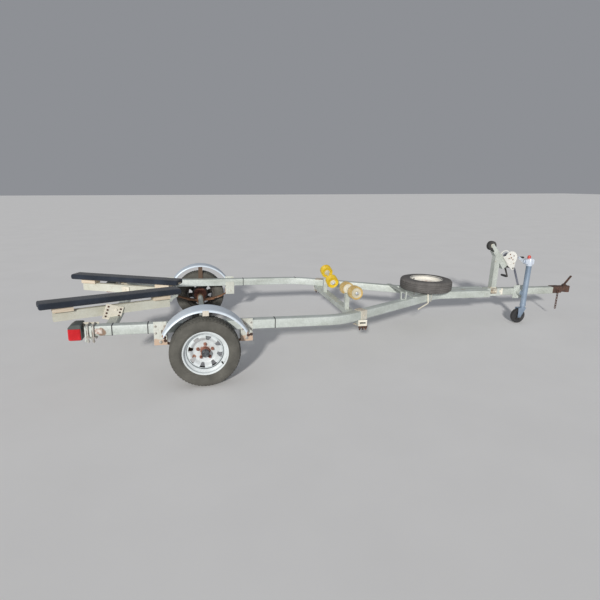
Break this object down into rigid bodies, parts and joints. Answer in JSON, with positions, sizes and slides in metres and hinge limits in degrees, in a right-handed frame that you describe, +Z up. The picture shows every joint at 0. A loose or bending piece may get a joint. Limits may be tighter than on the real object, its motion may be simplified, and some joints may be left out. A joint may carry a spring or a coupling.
{
  "type": "boat trailer",
  "caption": "Single-axle galvanised boat trailer with leaf springs, fenders, carpeted bunks, rocking keel rollers, a winch post with bow stop, a swing-up tongue jack and a flat spare wheel.",
  "frame": {"origin": "on the ground under the middle of the trailer's bounding box", "axes": "+X forward to the coupler, +Y to the trailer's left, +Z up; the frame leans nose down by 1.65 degrees, as it stands on its jack"},
  "size_m": [5.5078, 2.06, 0.9104],
  "materials": {
    "galvanised_frame": "dull hot-dip galvanised, lightly stained",
    "zinc_fender": "brighter zinc sheet",
    "rusty_steel": "rusted bare steel",
    "plated_steel": "dull plated steel",
    "white_wheel": "white paint, dusty, rust at the centre",
    "tyre_rubber": "dusty black",
    "bunk_carpet": "worn charcoal carpet over a plank",
    "pale_beam": "weathered off-white",
    "timber_block": "raw timber",
    "amber_roller": "amber rubber, dusty",
    "black_rubber": "black rubber",
    "dark_plastic": "black plastic",
    "dark_steel": "dark plated steel",
    "webbing": "grey webbing",
    "red_lens": "red lens",
    "marker_plate": "small reflector"
  },
  "bodies": {
    "frame": {"axle_beam": "galvanised_frame", "axle_clamps": "rusty_steel", "bunk_plates_left": "galvanised_frame", "bunk_plates_right": "galvanised_frame", "coupler": "rusty_steel", "coupler_latch": "plated_steel", "fender_brackets_left": "galvanised_frame", "fender_brackets_right": "galvanised_frame", "fender_left": "zinc_fender", "fender_right": "zinc_fender", "frame_clamps": "galvanised_frame", "jack_bracket": "galvanised_frame", "lamp_brackets": "dark_plastic", "mid_cross_member": "galvanised_frame", "neck_plates": "galvanised_frame", "rail_left": "galvanised_frame", "rail_right": "galvanised_frame", "rear_cross_member": "galvanised_frame", "roller_stands": "galvanised_frame", "safety_chain": "plated_steel", "side_markers": "marker_plate", "spare_carrier": "galvanised_frame", "spare_rim": "white_wheel", "spare_tyre": "tyre_rubber", "spring_hangers_left": "rusty_steel", "spring_hangers_right": "rusty_steel", "spring_left": "rusty_steel", "spring_right": "rusty_steel", "tail_lamps": "red_lens", "tongue_tube": "galvanised_frame", "winch_arm": "galvanised_frame", "winch_frame": "plated_steel", "winch_post": "galvanised_frame", "winch_strap": "webbing"},
    "wheel_right": {"hub_right": "rusty_steel", "rim_right": "white_wheel", "tyre_right": "tyre_rubber"},
    "wheel_left": {"hub_left": "rusty_steel", "rim_left": "white_wheel", "tyre_left": "tyre_rubber"},
    "bunk_right": {"bunk_beam_right": "pale_beam", "bunk_blocks_right": "timber_block", "bunk_board_right": "bunk_carpet"},
    "bunk_left": {"bunk_beam_left": "pale_beam", "bunk_blocks_left": "timber_block", "bunk_board_left": "bunk_carpet"},
    "rocker_right": {"roller_rocker_right": "plated_steel"},
    "roller_pair_right": {"rollers_right": "amber_roller"},
    "rocker_left": {"roller_rocker_left": "plated_steel"},
    "roller_pair_left": {"rollers_left": "amber_roller"},
    "bow_roller": {"bow_roller": "black_rubber"},
    "winch_crank": {"winch_crank": "dark_steel"},
    "winch_drum": {"winch_drum": "webbing"},
    "jack": {"jack_tube": "plated_steel", "jack_head": "plated_steel"},
    "jack_leg": {"jack_leg": "plated_steel"},
    "jack_caster": {"jack_fork": "plated_steel"},
    "jack_wheel": {"jack_wheel": "dark_plastic"}
  },
  "joints": [
    {"name": "wheel_right_spin", "type": "hinge", "parent": "frame", "child": "wheel_right", "pos_m": [-1.50014, -0.935, 0.27], "axis": [0, 1, 0], "continuous": true},
    {"name": "wheel_left_spin", "type": "hinge", "parent": "frame", "child": "wheel_left", "pos_m": [-1.50014, 0.935, 0.27], "axis": [0, 1, 0], "continuous": true},
    {"name": "bunk_right_pivot", "type": "hinge", "parent": "frame", "child": "bunk_right", "pos_m": [-2.21147, -0.3775, 0.49457], "axis": [-0.3797, 0.925, 0.0109], "range_deg": [-3.5, 3.5]},
    {"name": "bunk_left_pivot", "type": "hinge", "parent": "frame", "child": "bunk_left", "pos_m": [-2.21147, 0.3775, 0.49457], "axis": [0.3797, 0.925, -0.0109], "range_deg": [-3.5, 3.5]},
    {"name": "rocker_right_rock", "type": "hinge", "parent": "frame", "child": "rocker_right", "pos_m": [-0.11722, -0.355, 0.49027], "axis": [0.9996, 0, -0.0288], "range_deg": [-12, 12]},
    {"name": "roller_pair_right_spin", "type": "hinge", "parent": "rocker_right", "child": "roller_pair_right", "pos_m": [-0.11596, -0.3527, 0.53419], "axis": [-0.0015, 0.9986, -0.0523], "continuous": true},
    {"name": "rocker_left_rock", "type": "hinge", "parent": "frame", "child": "rocker_left", "pos_m": [-0.11722, 0.355, 0.49027], "axis": [0.9996, 0, -0.0288], "range_deg": [-12, 12]},
    {"name": "roller_pair_left_spin", "type": "hinge", "parent": "rocker_left", "child": "roller_pair_left", "pos_m": [-0.11601, 0.34214, 0.53233], "axis": [0.0084, 0.9563, 0.2922], "continuous": true},
    {"name": "bow_roller_spin", "type": "hinge", "parent": "frame", "child": "bow_roller", "pos_m": [1.62897, 0, 0.85946], "axis": [0, 1, 0], "continuous": true},
    {"name": "winch_crank_turn", "type": "hinge", "parent": "frame", "child": "winch_crank", "pos_m": [1.89495, 0, 0.60638], "axis": [0, 1, 0], "continuous": true},
    {"name": "winch_drum_turn", "type": "hinge", "parent": "frame", "child": "winch_drum", "pos_m": [1.85734, 0, 0.72451], "axis": [0, 1, 0], "continuous": true},
    {"name": "jack_swing", "type": "hinge", "parent": "frame", "child": "jack", "pos_m": [2.01107, -0.145, 0.33092], "axis": [0, 1, 0], "range_deg": [0, 90]},
    {"name": "jack_lift", "type": "slide", "parent": "jack", "child": "jack_leg", "axis": [0.0288, 0, 0.9996], "range_m": [-0.245, 0.005]},
    {"name": "jack_caster_swivel", "type": "hinge", "parent": "jack_leg", "child": "jack_caster", "pos_m": [2.00669, -0.145, 0.17899], "axis": [0.0288, 0, 0.9996], "continuous": true},
    {"name": "jack_wheel_spin", "type": "hinge", "parent": "jack_caster", "child": "jack_wheel", "pos_m": [1.95588, -0.145, 0.082], "axis": [0, 1, 0], "continuous": true}
  ],
  "couplings": [
    {"joint": "winch_drum_turn", "follows": "winch_crank_turn", "ratio": -0.3125}
  ]
}
